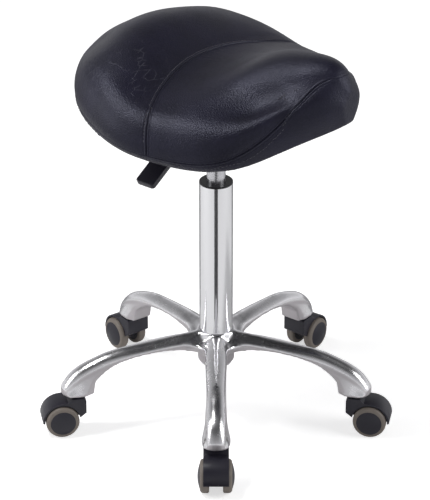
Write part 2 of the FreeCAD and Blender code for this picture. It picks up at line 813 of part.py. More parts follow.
def bolt_holes(foot, height):
    return at_bolts(lambda x, y: cylinder(S.bolt_radius + S.hole_gap, height, x=x, y=y, z=foot))


def rounded_plate():
    plate = centred_block(
        S.plate_half_length, S.plate_half_width, S.plate_height, S.plate_underside
    )
    rounded = add("Part::Fillet", "RoundedPlate")
    rounded.Base = plate
    doc.recompute()
    upright = [
        i for i, edge in enumerate(plate.Shape.Edges, 1)
        if abs(edge.tangentAt(edge.FirstParameter).z) > 0.9
    ]
    corner = S.plate_corner.value
    rounded.Edges = [(i, corner, corner) for i in upright]
    return rounded


def pivot_cylinder(radius, half_length):
    return cylinder(
        radius, 2 * half_length, x=-half_length, y=-S.pivot_out, z=S.lever_height,
        axis=(0, 1, 0), angle=90,
    )


ear_out = S.eye_half_width + S.ear_gap
ears = [
    block(
        S.ear_thickness, 2 * S.ear_half_width, S.ear_height,
        x=(ear_out if side > 0 else -ear_out - S.ear_thickness),
        y=-S.pivot_out - S.ear_half_width,
        z=S.plate_underside - S.ear_height,
    )
    for side in SIDES
]
named(
    cut(
        fuse(rounded_plate(), *ears),
        *bolt_holes(S.plate_underside, S.plate_height),
        pivot_cylinder(S.pivot_radius, S.pivot_half_length),
    ),
    "mechanism_plate",
)

tray_height = S.plate_underside - S.tray_foot
tray_inside = S.tray_foot + S.tray_wall
tray_shell = cut(
    centred_block(S.tray_half_length, S.tray_half_width, tray_height, S.tray_foot),
    centred_block(
        S.tray_half_length - S.tray_wall, S.tray_half_width - S.tray_wall,
        S.plate_underside - tray_inside, tray_inside,
    ),
    cylinder(S.socket_radius, S.tray_wall, z=S.tray_foot),
    block(
        2 * S.slot_half_width, 2 * S.tray_wall, S.plate_underside - S.slot_foot,
        x=-S.slot_half_width, y=-S.tray_half_width - S.tray_wall * 0.5, z=S.slot_foot,
    ),
)
named(fuse(tray_shell, taper_socket), "mechanism_tray")
named(pivot_cylinder(S.pivot_radius, S.pivot_pin_half_length), "lever_pivot_pin")


# The height lever: a rod that presses the valve pin, and the paddle at its outer end
def drooped(thing):
    """Places a piece whose +Z runs out along the drooping end of the lever."""
    return place(
        thing, y=-S.lever_bend, z=S.lever_height, axis=(1, 0, 0), angle=90 + S.lever_droop.value
    )


lever_straight = cylinder(
    S.lever_radius, S.lever_bend + S.lever_inner_end, y=S.lever_inner_end, z=S.lever_height,
    axis=(1, 0, 0), angle=90,
)
lever_blank = fuse(
    lever_straight,
    ball(S.lever_radius, y=-S.lever_bend, z=S.lever_height),
    drooped(cylinder(S.lever_radius, S.lever_tail)),
    pivot_cylinder(S.eye_radius, S.eye_half_width),
)
named(
    cut(lever_blank, pivot_cylinder(S.pivot_radius + S.running_gap, S.eye_half_width)),
    "lever_rod",
)


def paddle():
    """The paddle along +Z, flat in X, with its outer corners rounded."""
    half = S.paddle_half_width
    corner = S.paddle_corner
    end = S.paddle_end
    thick = S.paddle_height
    outline = padded_outline("XZ_Plane", [
        (half, S.paddle_start), (half, end - corner),
        (half - corner, end, half - corner, end - corner), (corner - half, end),
        (-half, end - corner, corner - half, end - corner), (-half, S.paddle_start),
    ], thick)
    bore = cylinder(S.lever_radius, S.lever_tail - S.paddle_start, z=S.paddle_start)
    return cut(outline, bore)


named(drooped(paddle()), "lever_paddle")


# The seat: board, fixings, foam and the sewn cover
def board_slab(foot, height):
    """The board's outline, a disc cut straight across at front and back."""
    return common(
        cylinder(S.board_radius, height, z=foot),
        block(
            S.board_front + S.board_back, 2 * S.board_radius, height,
            x=-S.board_back, y=-S.board_radius, z=foot,
        ),
    )


board_top = S.board_underside + S.board_height
nut_holes = at_bolts(
    lambda x, y: cylinder(S.nut_radius, S.board_height, x=x, y=y, z=S.board_underside)
)
nut_seats = at_bolts(
    lambda x, y: cylinder(
        S.nut_flange_radius, S.nut_flange_height, x=x, y=y, z=board_top - S.nut_flange_height
    )
)
named(
    cut(board_slab(S.board_underside, S.board_height), *nut_holes, *nut_seats), "seat_board"
)
dust_foot = S.board_underside - S.dust_cover_height
named(
    cut(
        board_slab(dust_foot, S.dust_cover_height),
        *bolt_holes(dust_foot, S.dust_cover_height),
    ),
    "dust_cover",
)


def tee_nut(x, y):
    body = fuse(
        cylinder(S.nut_radius, S.board_height, x=x, y=y, z=S.board_underside),
        cylinder(
            S.nut_flange_radius, S.nut_flange_height, x=x, y=y, z=board_top - S.nut_flange_height
        ),
    )
    return cut(body, cylinder(S.bolt_radius, S.board_height, x=x, y=y, z=S.board_underside))


head_top = S.plate_underside - S.washer_height


def bolt(x, y):
    return fuse(
        cylinder(
            S.bolt_head_radius, S.bolt_head_height, x=x, y=y, z=head_top - S.bolt_head_height
        ),
        cylinder(S.bolt_radius, S.bolt_top - head_top, x=x, y=y, z=head_top),
    )


def bolt_washer(x, y):
    return ring(
        S.washer_radius, S.bolt_radius + S.hole_gap, S.washer_height, x=x, y=y, z=head_top
    )


named(group(*at_bolts(tee_nut)), "tee_nuts")
named(group(*at_bolts(bolt), *at_bolts(bolt_washer)), "mounting_bolts")


def tangent_arc(start, heading, end):
    """The arc in a YZ plane that leaves start along heading and reaches end, and its last
    heading."""
    chord = end - start
    turn = 2 * math.atan2(
        heading.y * chord.z - heading.z * chord.y, heading.y * chord.y + heading.z * chord.z
    )
    half_chord = chord.Length / 2
    bulge = half_chord * math.tan(turn / 4)
    side = vector(0, chord.z, -chord.y) * (1 / chord.Length)
    middle = (start + end) * 0.5 + side * bulge
    cos, sin = math.cos(turn), math.sin(turn)
    last = vector(0, cos * heading.y - sin * heading.z, sin * heading.y + cos * heading.z)
    return middle, last


def seat_section(index, inset):
    """One cross section of the saddle, as arcs that run on from one another over the crown."""
    along, half, wide, crest, edge, edge_half, fall, shoulder = (
        number(f"seat_{column}_{index}") for column in SEAT_COLUMNS
    )
    if index == 1:
        along += inset
    if index == len(SEAT_ROWS):
        along -= inset
    half -= inset
    crest -= inset
    edge += inset
    edge_half -= inset
    drop = crest - wide
    first_half = S.crown_first.value * half
    second_half = S.crown_second.value * half
    points = [
        vector(along, 0, crest),
        vector(along, first_half, crest - fall * drop),
        vector(along, second_half, crest - shoulder * drop),
        vector(along, half, wide),
        vector(along, edge_half, edge),
    ]
    heading = vector(0, 1, 0)
    arcs = []
    for start, end in zip(points[:3], points[1:4]):
        middle, heading = tangent_arc(start, heading, end)
        arcs.append((start, middle, end))
    side = points[4] - points[3]
    bulge = vector(0, -side.z, side.y) * S.side_bulge.value
    arcs.append((points[3], (points[3] + points[4]) * 0.5 + bulge, points[4]))
    flip = [tuple(vector(p.x, -p.y, p.z) for p in reversed(arc)) for arc in reversed(arcs)]
    over_top = (flip[-1][0], flip[-1][1], points[0])
    edges = [Part.Arc(*arc).toShape() for arc in flip[:-1] + [over_top] + arcs]
    foot = Part.LineSegment(points[4], vector(along, -points[4].y, points[4].z))
    return Part.Wire(edges + [foot.toShape()])


def saddle(inset):
    """The saddle's whole outer form, drawn in evenly by inset."""
    return Part.makeLoft([seat_section(i, inset) for i in range(1, len(SEAT_ROWS) + 1)], True)


def board_window():
    """What the board takes out of the foam and of the cover's underside."""
    foot = S.window_foot.value
    height = S.board_underside.value + S.board_height.value - foot
    radius = S.board_radius.value
    disc = Part.makeCylinder(radius, height, vector(0, 0, foot))
    corner = vector(-S.board_back.value, -radius, foot)
    length = S.board_front.value - corner.x
    return disc.common(Part.makeBox(length, 2 * radius, height, corner))


def band_region():
    """All that lies below the lower seam and ahead of the nose seam, seen from the side."""
    reach = S.seam_reach.value
    low = S.seam_cutter_foot.value
    front_sag = vector(0, 0, S.band_front_sag.value)
    turn_sag = vector(0, 0, S.band_turn_sag.value)
    bow = vector(S.nose_seam_bow.value, 0, -S.nose_seam_bow.value)
    back = vector(-reach, -reach, S.band_back.value)
    side = vector(S.band_side_at.value, -reach, S.band_side.value)
    front = vector(S.band_front_at.value, -reach, S.band_front.value)
    turn = vector(S.band_turn_at.value, -reach, S.band_turn.value)
    slope = vector(S.nose_seam_low_at.value, -reach, S.nose_seam_low.value)
    steep = vector(S.nose_seam_high_at.value, -reach, S.nose_seam_high.value)
    top = vector(S.nose_seam_end_at.value, -reach, S.nose_seam_end.value)
    edges = [
        Part.Arc(back, side, front).toShape(),
        Part.Arc(front, (front + turn) * 0.5 - front_sag, turn).toShape(),
        Part.Arc(turn, (turn + slope) * 0.5 - turn_sag, slope).toShape(),
        Part.Arc(slope, (slope + steep) * 0.5 + bow, steep).toShape(),
        Part.LineSegment(steep, top).toShape(),
        Part.makePolygon([
            top, vector(reach, -reach, top.z), vector(reach, -reach, low),
            vector(-reach, -reach, low), back,
        ]),
    ]
    wire = Part.Wire([e for shape in edges for e in shape.Edges])
    return Part.Face(wire).extrude(vector(0, 2 * reach, 0))


def seam_disc():
    """The upright cylinder whose back lies along the seam across the saddle."""
    radius = S.cross_seam_radius.value
    centre = vector(S.cross_seam_at.value + radius, 0, S.seam_cutter_foot.value)
    return Part.makeCylinder(radius, S.seam_cutter_height.value, centre)


window = board_window()
inner = saddle(S.cover_skin.value)
skin = saddle(0).cut(inner).cut(window)
band = band_region()
upper = skin.cut(band)
front_of_seam = seam_disc()
named(free_form(inner.cut(window), "Foam"), "seat_foam")
named(free_form(skin.common(band), "Band"), "cover_band_and_nose")
named(free_form(upper.common(front_of_seam), "MiddlePanel"), "cover_middle_panel")
named(free_form(upper.cut(front_of_seam), "RearPanel"), "cover_rear_panel")

doc.recompute()

for thing in doc.Objects:
    bad = [word for word in thing.State if word in ("Invalid", "Error")]
    if bad:
        raise RuntimeError(f"{thing.Name} ({thing.Label}) is {bad}")
for thing in PARTS:
    if thing.Shape.isNull() or not thing.Shape.isValid():
        raise RuntimeError(f"{thing.Label} has no valid shape")
for thing in PARTS:
    thing.Shape.exportStep(f"parts/{thing.Label}.step")
    print(thing.Label, len(thing.Shape.Solids), round(thing.Shape.Volume, 1))
print(len(PARTS), "sub-parts")
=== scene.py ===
import json
import math

import bmesh
import bpy
import numpy as np
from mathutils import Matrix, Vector
from mathutils.bvhtree import BVHTree

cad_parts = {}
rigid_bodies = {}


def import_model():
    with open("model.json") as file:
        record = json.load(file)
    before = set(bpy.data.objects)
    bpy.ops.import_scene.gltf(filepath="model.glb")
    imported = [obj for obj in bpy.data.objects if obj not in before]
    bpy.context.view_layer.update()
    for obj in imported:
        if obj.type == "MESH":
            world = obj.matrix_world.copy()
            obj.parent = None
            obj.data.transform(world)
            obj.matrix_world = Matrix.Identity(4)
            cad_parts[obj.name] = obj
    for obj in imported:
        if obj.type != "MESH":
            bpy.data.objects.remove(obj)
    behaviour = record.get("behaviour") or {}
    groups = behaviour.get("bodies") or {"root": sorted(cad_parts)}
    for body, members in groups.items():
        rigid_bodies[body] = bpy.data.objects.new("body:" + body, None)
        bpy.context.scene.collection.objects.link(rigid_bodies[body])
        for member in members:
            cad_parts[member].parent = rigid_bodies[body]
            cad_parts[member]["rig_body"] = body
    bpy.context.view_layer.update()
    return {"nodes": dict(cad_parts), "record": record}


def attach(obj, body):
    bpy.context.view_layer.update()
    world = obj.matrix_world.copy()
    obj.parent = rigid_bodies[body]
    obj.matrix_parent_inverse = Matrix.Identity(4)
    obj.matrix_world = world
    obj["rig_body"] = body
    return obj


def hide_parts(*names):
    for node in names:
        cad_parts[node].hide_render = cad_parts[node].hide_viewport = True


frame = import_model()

NODES = frame["nodes"]
LEGS = 5
MM = 0.001
TINY = 1e-9

# The camera of the photograph: it looks at a point on the column's axis
AZIMUTH = math.radians(38.0)
ELEVATION = math.radians(27.3)
DISTANCE = 4.5
TARGET = Vector((0.0, 0.0, 0.267))
FOCAL_PIXELS = 3042.0
PICTURE_HEIGHT = 500.0
SENSOR = 36.0
SHIFT_X = -0.0022


def camera_direction(azimuth, elevation):
    flat = math.cos(elevation)
    return Vector((math.sin(azimuth) * flat, -math.cos(azimuth) * flat, math.sin(elevation)))


def link(obj):
    bpy.context.scene.collection.objects.link(obj)
    return obj


def mesh_object(name, vertices, faces, smooth=True):
    mesh = bpy.data.meshes.new(name)
    mesh.from_pydata([tuple(v) for v in vertices], [], [tuple(f) for f in faces])
    mesh.validate()
    if smooth:
        mesh.shade_smooth()
    return link(bpy.data.objects.new(name, mesh))


# Materials
class Nodes:
    """A material's node tree with short ways to add and join nodes."""

    def __init__(self, name):
        self.material = bpy.data.materials.new(name)
        self.material.use_nodes = True
        self.tree = self.material.node_tree
        self.tree.nodes.clear()
        self.output = self.add("ShaderNodeOutputMaterial")

    def add(self, kind, **settings):
        node = self.tree.nodes.new(kind)
        for key, value in settings.items():
            setattr(node, key, value)
        return node

    def join(self, source, target):
        self.tree.links.new(source, target)

    def surface(self, color, roughness, metallic=0.0, specular=0.5, **sockets):
        shader = self.add("ShaderNodeBsdfPrincipled")
        shader.inputs["Base Color"].default_value = (*color, 1.0)
        shader.inputs["Roughness"].default_value = roughness
        shader.inputs["Metallic"].default_value = metallic
        shader.inputs["Specular IOR Level"].default_value = specular
        for key, value in sockets.items():
            shader.inputs[key.replace("_", " ")].default_value = value
        self.join(shader.outputs["BSDF"], self.output.inputs["Surface"])
        return shader

    def position(self):
        """The place on the object at rest, in metres."""
        return self.add("ShaderNodeTexCoord").outputs["Object"]

    def noise(self, scale, detail=3.0, roughness=0.5, stretch=None, distortion=0.0):
        made = self.add("ShaderNodeTexNoise")
        made.inputs["Scale"].default_value = scale
        made.inputs["Detail"].default_value = detail
        made.inputs["Roughness"].default_value = roughness
        made.inputs["Distortion"].default_value = distortion
        self.join(self.stretched(stretch), made.inputs["Vector"])
        return made.outputs["Fac"]

    def cells(self, scale, feature="DISTANCE_TO_EDGE", stretch=None):
        made = self.add("ShaderNodeTexVoronoi", feature=feature)
        made.inputs["Scale"].default_value = scale
        self.join(self.stretched(stretch), made.inputs["Vector"])
        return made.outputs["Distance"]

    def stretched(self, stretch):
        if stretch is None:
            return self.position()
        mapping = self.add("ShaderNodeMapping")
        mapping.inputs["Scale"].default_value = stretch
        self.join(self.position(), mapping.inputs["Vector"])
        return mapping.outputs["Vector"]

    def ramp(self, source, low, high, low_value, high_value):
        made = self.add("ShaderNodeMapRange", interpolation_type="SMOOTHSTEP")
        made.inputs["From Min"].default_value = low
        made.inputs["From Max"].default_value = high
        made.inputs["To Min"].default_value = low_value
        made.inputs["To Max"].default_value = high_value
        self.join(source, made.inputs["Value"])
        return made.outputs["Result"]

    def maths(self, operation, first, second):
        made = self.add("ShaderNodeMath", operation=operation)
        for socket, value in zip(made.inputs, (first, second)):
            if isinstance(value, (int, float)):
                socket.default_value = value
            else:
                self.join(value, socket)
        return made.outputs["Value"]

    def patch(self, spot, reach):
        """One at a place on the object, fading to nothing at that reach from it."""
        away = self.add("ShaderNodeVectorMath", operation="DISTANCE")
        self.join(self.position(), away.inputs[0])
        away.inputs[1].default_value = spot
        return self.ramp(away.outputs["Value"], reach * 0.35, reach, 1.0, 0.0)

    def colours(self, factor, first, second):
        made = self.add("ShaderNodeMix", data_type="RGBA")
        for socket, value in ((made.inputs[6], first), (made.inputs[7], second)):
            if isinstance(value, tuple):
                socket.default_value = (*value, 1.0)
            else:
                self.join(value, socket)
        self.join(factor, made.inputs["Factor"])
        return made.outputs[2]

    def bump(self, height, distance, strength=1.0, after=None):
        made = self.add("ShaderNodeBump")
        made.inputs["Distance"].default_value = distance
        made.inputs["Strength"].default_value = strength
        self.join(height, made.inputs["Height"])
        if after is not None:
            self.join(after, made.inputs["Normal"])
        return made.outputs["Normal"]


def vinyl_material():
    """Soft upholstery vinyl: pebble grain, a worn patch with fine creases and a satin sheen."""
    m = Nodes("vinyl")
    shader = m.surface((0.0080, 0.0074, 0.0150), 0.40, specular=0.38)
    shader.inputs["Specular Tint"].default_value = (0.78, 0.80, 1.0, 1.0)
    grain = m.cells(520.0, feature="F1")
    pores = m.noise(1500.0, detail=3.0)
    pebbles = m.maths("ADD", grain, m.maths("MULTIPLY", pores, 0.5))
    cracks = m.cells(95.0, stretch=(1.0, 0.5, 1.0))
    thin = m.ramp(cracks, 0.0, 0.05, 1.0, 0.0)
    broken = m.ramp(m.noise(55.0, detail=4.0), 0.46, 0.60, 0.0, 1.0)
    worn = m.maths("MULTIPLY", thin, m.maths("MULTIPLY", broken, m.patch(WORN_SPOT, WORN_REACH)))
    m.join(m.ramp(m.noise(9.0, detail=4.0), 0.3, 0.7, 0.36, 0.46), shader.inputs["Roughness"])
    mottle = m.maths("ADD", m.noise(330.0, detail=4.0, roughness=0.7), m.noise(20.0, detail=3.0))
    shade = m.ramp(mottle, 0.7, 1.3, 0.0, 1.0)
    tone = m.colours(shade, (0.0044, 0.0039, 0.0098), (0.0090, 0.0082, 0.0192))
    faded = m.maths("MULTIPLY", worn, 0.55)
    m.join(m.colours(faded, tone, (0.060, 0.058, 0.075)), shader.inputs["Base Color"])
    rough = m.bump(pebbles, 0.00034, 1.0)
    m.join(m.bump(worn, 0.0006, 0.6, after=rough), shader.inputs["Normal"])
    return m.material


def thread_material():
    m = Nodes("thread")
    shader = m.surface((0.085, 0.082, 0.100), 0.55)
    m.join(m.bump(m.noise(3000.0, stretch=(1.0, 1.0, 0.2)), 0.0001), shader.inputs["Normal"])
    return m.material


def cast_metal_material():
    """Polished casting: mirror-like on its crowns, matte on its upright walls and underneath,
    where its colour is also darker: partly a duller as-cast finish, partly painted shade.
    """
    m = Nodes("polished_casting")
    shader = m.surface((0.72, 0.71, 0.73), 0.15, metallic=1.0)
    split = m.add("ShaderNodeSeparateXYZ")
    m.join(m.add("ShaderNodeNewGeometry").outputs["Normal"], split.inputs["Vector"])
    upright = m.ramp(split.outputs["Z"], 0.10, 0.34, 1.0, 0.0)
    cloudy = m.noise(60.0, detail=4.0)
    polish = m.ramp(cloudy, 0.3, 0.7, 0.20, 0.28)
    rough = m.maths("ADD", polish, m.maths("MULTIPLY", upright, 0.28))
    m.join(rough, shader.inputs["Roughness"])
    # Darker base colour on the upright walls and underneath, chosen by facing direction: partly
    # the duller as-cast finish, partly painted shade
    tone = m.colours(upright, (0.80, 0.795, 0.815), (0.56, 0.535, 0.555))
    m.join(tone, shader.inputs["Base Color"])
    pits = m.maths("MULTIPLY", m.noise(1500.0, detail=3.0), upright)
    m.join(m.bump(pits, 0.00018, 0.8), shader.inputs["Normal"])
    return m.material


def chrome_material():
    m = Nodes("chromed_tube")
    shader = m.surface((0.86, 0.86, 0.88), 0.08, metallic=1.0)
    drawn = m.noise(700.0, detail=2.0, stretch=(1.0, 1.0, 0.01))
    m.join(m.ramp(drawn, 0.3, 0.7, 0.06, 0.13), shader.inputs["Roughness"])
    m.join(m.bump(drawn, 0.00001, 0.3), shader.inputs["Normal"])
    return m.material


def steel_material(name, color, roughness, turned_marks=900.0):
    m = Nodes(name)
    shader = m.surface(color, roughness, metallic=1.0)
    marks = m.noise(turned_marks, detail=2.0, stretch=(0.05, 0.05, 1.0))
    m.join(m.ramp(marks, 0.3, 0.7, roughness - 0.06, roughness + 0.08), shader.inputs["Roughness"])
    m.join(m.bump(marks, 0.00003, 0.5), shader.inputs["Normal"])
    return m.material


def plastic_material(name, color, roughness, texture=1800.0, depth=0.00006):
    m = Nodes(name)
    shader = m.surface(color, roughness)
    lighter = tuple(c * 1.25 for c in color)
    m.join(m.colours(m.noise(40.0, detail=4.0), color, lighter), shader.inputs["Base Color"])
    m.join(
        m.ramp(m.noise(25.0), 0.3, 0.7, roughness - 0.05, roughness + 0.06),
        shader.inputs["Roughness"],
    )
    m.join(m.bump(m.noise(texture, detail=3.0), depth, 0.8), shader.inputs["Normal"])
    return m.material


def tread_material():
    m = Nodes("soft_tread")
    shader = m.surface((0.17, 0.145, 0.125), 0.55)
    dust = m.noise(90.0, detail=5.0)
    tone = m.colours(dust, (0.145, 0.122, 0.104), (0.205, 0.178, 0.155))
    m.join(tone, shader.inputs["Base Color"])
    m.join(m.bump(m.noise(1200.0, detail=3.0), 0.00012, 0.7), shader.inputs["Normal"])
    return m.material


def wood_material():
    m = Nodes("plywood")
    shader = m.surface((0.45, 0.30, 0.16), 0.6)
    grain = m.noise(45.0, detail=5.0, stretch=(0.15, 2.0, 6.0), distortion=0.8)
    m.join(m.colours(grain, (0.33, 0.20, 0.10), (0.56, 0.40, 0.23)), shader.inputs["Base Color"])
    m.join(m.bump(grain, 0.0003, 0.5), shader.inputs["Normal"])
    return m.material


def lining_material():
    m = Nodes("lining")
    shader = m.surface((0.02, 0.02, 0.021), 0.85, Sheen_Weight=0.2)
    weave = m.add("ShaderNodeTexWave", wave_type="BANDS", bands_direction="DIAGONAL")
    weave.inputs["Scale"].default_value = 400.0
    m.join(m.position(), weave.inputs["Vector"])
    m.join(m.bump(weave.outputs["Fac"], 0.0002, 0.8), shader.inputs["Normal"])
    return m.material


WORN_SPOT = (-0.067, -0.120, 0.583)
WORN_REACH = 0.080
VINYL = vinyl_material()
THREAD = thread_material()
CASTING = cast_metal_material()
CHROME = chrome_material()
PISTON = steel_material("ground_piston", (0.60, 0.60, 0.63), 0.24)
INNER_STEEL = steel_material("plain_steel", (0.52, 0.52, 0.54), 0.32)
ZINC = steel_material("zinc_plate", (0.58, 0.58, 0.60), 0.30)
BLACK_COAT = plastic_material("black_coat", (0.020, 0.020, 0.022), 0.45)
GUIDE = plastic_material("guide_plastic", (0.010, 0.010, 0.012), 0.35)
MOULDED = plastic_material("moulded_plastic", (0.0110, 0.0100, 0.0180), 0.42)
RUBBER = plastic_material("black_rubber", (0.015, 0.015, 0.015), 0.7)
TREAD = tread_material()
PLYWOOD = wood_material()
LINING = lining_material()
FOAM = plastic_material("foam", (0.70, 0.66, 0.50), 0.9, texture=900.0, depth=0.0004)

SLOT_MATERIALS = {
    "casting": CASTING, "chromed_tube": CHROME, "piston_steel": PISTON,
    "inner_steel": INNER_STEEL, "guide_plastic": GUIDE, "caster_plastic": MOULDED,
    "tread": TREAD, "bumper_rubber": RUBBER, "mechanism_steel": BLACK_COAT,
    "plywood": PLYWOOD, "foam": FOAM, "upholstery": VINYL, "lining": LINING,
    "fasteners": ZINC,
}
NODE_SLOTS = {s["node"]: s["material_slot"] for s in frame["record"]["subparts"]}


def dress(obj, material):
    obj.data.materials.clear()
    obj.data.materials.append(material)
    return obj


for node_name, node in NODES.items():
    dress(node, SLOT_MATERIALS[NODE_SLOTS[node_name]])


# The saddle cushion, in millimetres: place along, half width, height of the widest line, height
# of the crest, two shares of the crown's fall, half width and height of the lower edge.
SADDLE = np.array([
    (-200, 44.6, 543.7, 561.6, 0.12, 0.45, 25.7, 521.4),
    (-190, 77.9, 541.0, 574.5, 0.12, 0.42, 63.0, 513.1),
    (-168, 115.5, 535.7, 589.4, 0.14, 0.38, 103.8, 504.3),
    (-130, 157.9, 531.3, 609.0, 0.11, 0.34, 141.1, 498.5),
    (-80, 185.6, 520.8, 604.6, 0.07, 0.30, 166.5, 492.4),
    (-20, 198.8, 508.6, 574.0, 0.05, 0.19, 179.7, 486.9),
    (40, 187.2, 499.9, 577.3, 0.08, 0.28, 175.3, 484.0),
    (95, 169.8, 499.6, 608.1, 0.21, 0.48, 159.0, 483.6),
    (140, 140.3, 511.7, 621.9, 0.29, 0.58, 130.0, 490.1),
    (175, 101.1, 544.6, 627.2, 0.27, 0.63, 92.1, 507.0),
    (205, 64.4, 562.1, 626.1, 0.20, 0.63, 53.8, 523.4),
    (226, 38.2, 566.5, 613.5, 0.17, 0.59, 23.0, 534.2),
    (238, 16.0, 568.1, 589.9, 0.19, 0.51, 6.0, 542.3),
])
STATIONS = 90
RECESS_POINTS = 96
RECESS_RADIUS = 168.0
RECESS_ENDS = (-108.0, 118.0)
RECESS_HEIGHTS = (440.0, 501.0)
CROWN_KNUCKLES = (0.4, 0.78)
CROWN_STEPS = 12
SIDE_STEPS = 8
SIDE_BULGE = 0.10


def natural_spline(knots, values, at):
    """A natural cubic spline through rows of values."""
    n = len(knots)
    h = np.diff(knots)
    matrix = np.eye(n)
    right = np.zeros_like(values)
    for i in range(1, n - 1):
        matrix[i, i - 1:i + 2] = h[i - 1], 2 * (h[i - 1] + h[i]), h[i]
        right[i] = 6 * (
            (values[i + 1] - values[i]) / h[i] - (values[i] - values[i - 1]) / h[i - 1]
        )
    bend = np.linalg.solve(matrix, right)
    found = np.clip(np.searchsorted(knots, at, side="right") - 1, 0, n - 2)
    t = (at - knots[found])[:, None]
    step = h[found][:, None]
    low, high = values[found], values[found + 1]
    b_low, b_high = bend[found], bend[found + 1]
    slope = (high - low) / step - step * (2 * b_low + b_high) / 6
    return low + slope * t + b_low * t**2 / 2 + (b_high - b_low) * t**3 / (6 * step)


def arc_from(start, heading, end, steps):
    """Points of the arc that leaves start along heading and reaches end, and its last heading."""
    chord = end - start
    across = np.array((-heading[1], heading[0]))
    rise = chord @ across
    if abs(rise) < 1e-6:
        return start + chord * np.linspace(0, 1, steps + 1)[1:, None], heading
    radius = (chord @ chord) / (2 * rise)
    centre = start + across * radius
    first = math.atan2(*(start - centre)[::-1])
    turn = 2 * math.atan2(rise, chord @ heading)
    angles = first + turn * np.linspace(0, 1, steps + 1)[1:]
    points = centre + abs(radius) * np.c_[np.cos(angles), np.sin(angles)]
    c, s = math.cos(turn), math.sin(turn)
    return points, np.array((c * heading[0] - s * heading[1], s * heading[0] + c * heading[1]))


def saddle_section(row):
    """Half of one cross section, from the crest over the widest line to the lower edge."""
    _, half, wide, crest, fall, shoulder, edge_half, edge = row
    drop = crest - wide
    knots = [
        np.array((0.0, crest)),
        np.array((CROWN_KNUCKLES[0] * half, crest - fall * drop)),
        np.array((CROWN_KNUCKLES[1] * half, crest - shoulder * drop)),
        np.array((half, wide)),
    ]
    heading = np.array((1.0, 0.0))
    points = [knots[0][None]]
    for start, end in zip(knots[:-1], knots[1:]):
        arc, heading = arc_from(start, heading, end, CROWN_STEPS)
        points.append(arc)
    low = np.array((edge_half, edge))
    share = np.linspace(0, 1, SIDE_STEPS + 1)[1:, None]
    bulge = SIDE_BULGE * np.linalg.norm(knots[3] - low)
    side = knots[3] * (1 - share) + low * share
    points.append(side + np.c_[np.sin(np.pi * share) * bulge, 0 * share])
    return np.vstack(points)


def saddle_blank():
    """The closed form of the cushion before it is puffed and sewn."""
    run = np.r_[0, np.cumsum(np.hypot(np.diff(SADDLE[:, 0]), np.diff(SADDLE[:, 1])))]
    rows = natural_spline(run, SADDLE, np.linspace(0, run[-1], STATIONS))
    vertices, faces = [], []
    for row in rows:
        half = saddle_section(row)
        whole = np.vstack([half, (half * (-1, 1))[:0:-1]])
        vertices += [(row[0], y, z) for y, z in whole]
    width = len(whole)
    for i in range(len(rows) - 1):
        for j in range(width):
            a, b = i * width + j, i * width + (j + 1) % width
            faces.append((a, b, b + width, a + width))
    faces.append(tuple(range(width))[::-1])
    faces.append(tuple(range((len(rows) - 1) * width, len(rows) * width)))
    made = mesh_object("saddle_cover", np.array(vertices) * MM, faces)
    tools = bmesh.new()
    tools.from_mesh(made.data)
    bmesh.ops.recalc_face_normals(tools, faces=tools.faces)
    tools.to_mesh(made.data)
    tools.free()
    return made


def apply_modifiers(obj):
    depsgraph = bpy.context.evaluated_depsgraph_get()
    mesh = bpy.data.meshes.new_from_object(obj.evaluated_get(depsgraph))
    obj.modifiers.clear()
    old = obj.data
    obj.data = mesh
    bpy.data.meshes.remove(old)


def board_recess():
    """A block of the board's outline, a little larger, that hollows the cushion's underside."""
    angles = np.linspace(0, 2 * np.pi, RECESS_POINTS, endpoint=False)
    x = np.clip(RECESS_RADIUS * np.cos(angles), *RECESS_ENDS)
    y = RECESS_RADIUS * np.sin(angles)
    vertices = [(a, b, z) for z in RECESS_HEIGHTS for a, b in zip(x, y)]
    n = RECESS_POINTS
    faces = [(i, (i + 1) % n, n + (i + 1) % n, n + i) for i in range(n)]
    faces.append(tuple(range(n))[::-1])
    faces.append(tuple(range(n, 2 * n)))
    return mesh_object("board_recess", np.array(vertices) * MM, faces, smooth=False)


def hollow(obj, cutter):
    modifier = obj.modifiers.new("Hollow", "BOOLEAN")
    modifier.object = cutter
    modifier.operation = "DIFFERENCE"
    modifier.solver = "EXACT"
    apply_modifiers(obj)
    bpy.data.objects.remove(cutter)


def remesh(obj, voxel):
    modifier = obj.modifiers.new("Remesh", "REMESH")
    modifier.mode = "VOXEL"
    modifier.voxel_size = voxel
    modifier.use_smooth_shade = True
    apply_modifiers(obj)


def relax(obj, rounds):
    modifier = obj.modifiers.new("Smooth", "SMOOTH")
    modifier.iterations = rounds
    apply_modifiers(obj)


def coordinates(mesh):
    found = np.zeros(len(mesh.vertices) * 3)
    mesh.vertices.foreach_get("co", found)
    return found.reshape(-1, 3)


def normals(mesh):
    found = np.zeros(len(mesh.vertices) * 3)
    mesh.vertices.foreach_get("normal", found)
    return found.reshape(-1, 3)


def set_coordinates(mesh, points):
    mesh.vertices.foreach_set("co", points.astype(np.float32).ravel())
    mesh.update()


# The seams, in millimetres. The cross seam is a line seen from above. The lower seam is a line
# seen from the side, which runs along the flanks and climbs over the nose.
CROSS_SEAM = (
    (72, -240), (45, -212), (23, -188), (8.5, -160), (-5, -129), (-18, -87), (-25.5, -46),
    (-28, -5), (-25, 36), (-19.5, 70), (-11, 98), (-1, 121), (10, 141), (22, 162), (38, 188),
    (58, 212), (84, 240),
)
LOWER_SEAM = (
    (-260, 543), (-200, 533), (-140, 524), (-84, 515.5), (-37, 506.5), (23, 499.5), (53, 498.3),
    (88, 498.5), (117, 502), (140, 511), (160, 527), (177, 548), (187, 565), (193, 580),
    (197.5, 591), (203, 600), (211, 607), (221, 611), (232, 612.5), (250, 613),
)
SEAM_SAMPLES = 100
LEAST_SLOPE = 0.08


def smooth_line(points, count):
    points = np.array(points, float)
    run = np.r_[0, np.cumsum(np.linalg.norm(np.diff(points, axis=0), axis=1))]
    return natural_spline(run, points, np.linspace(0, run[-1], count))


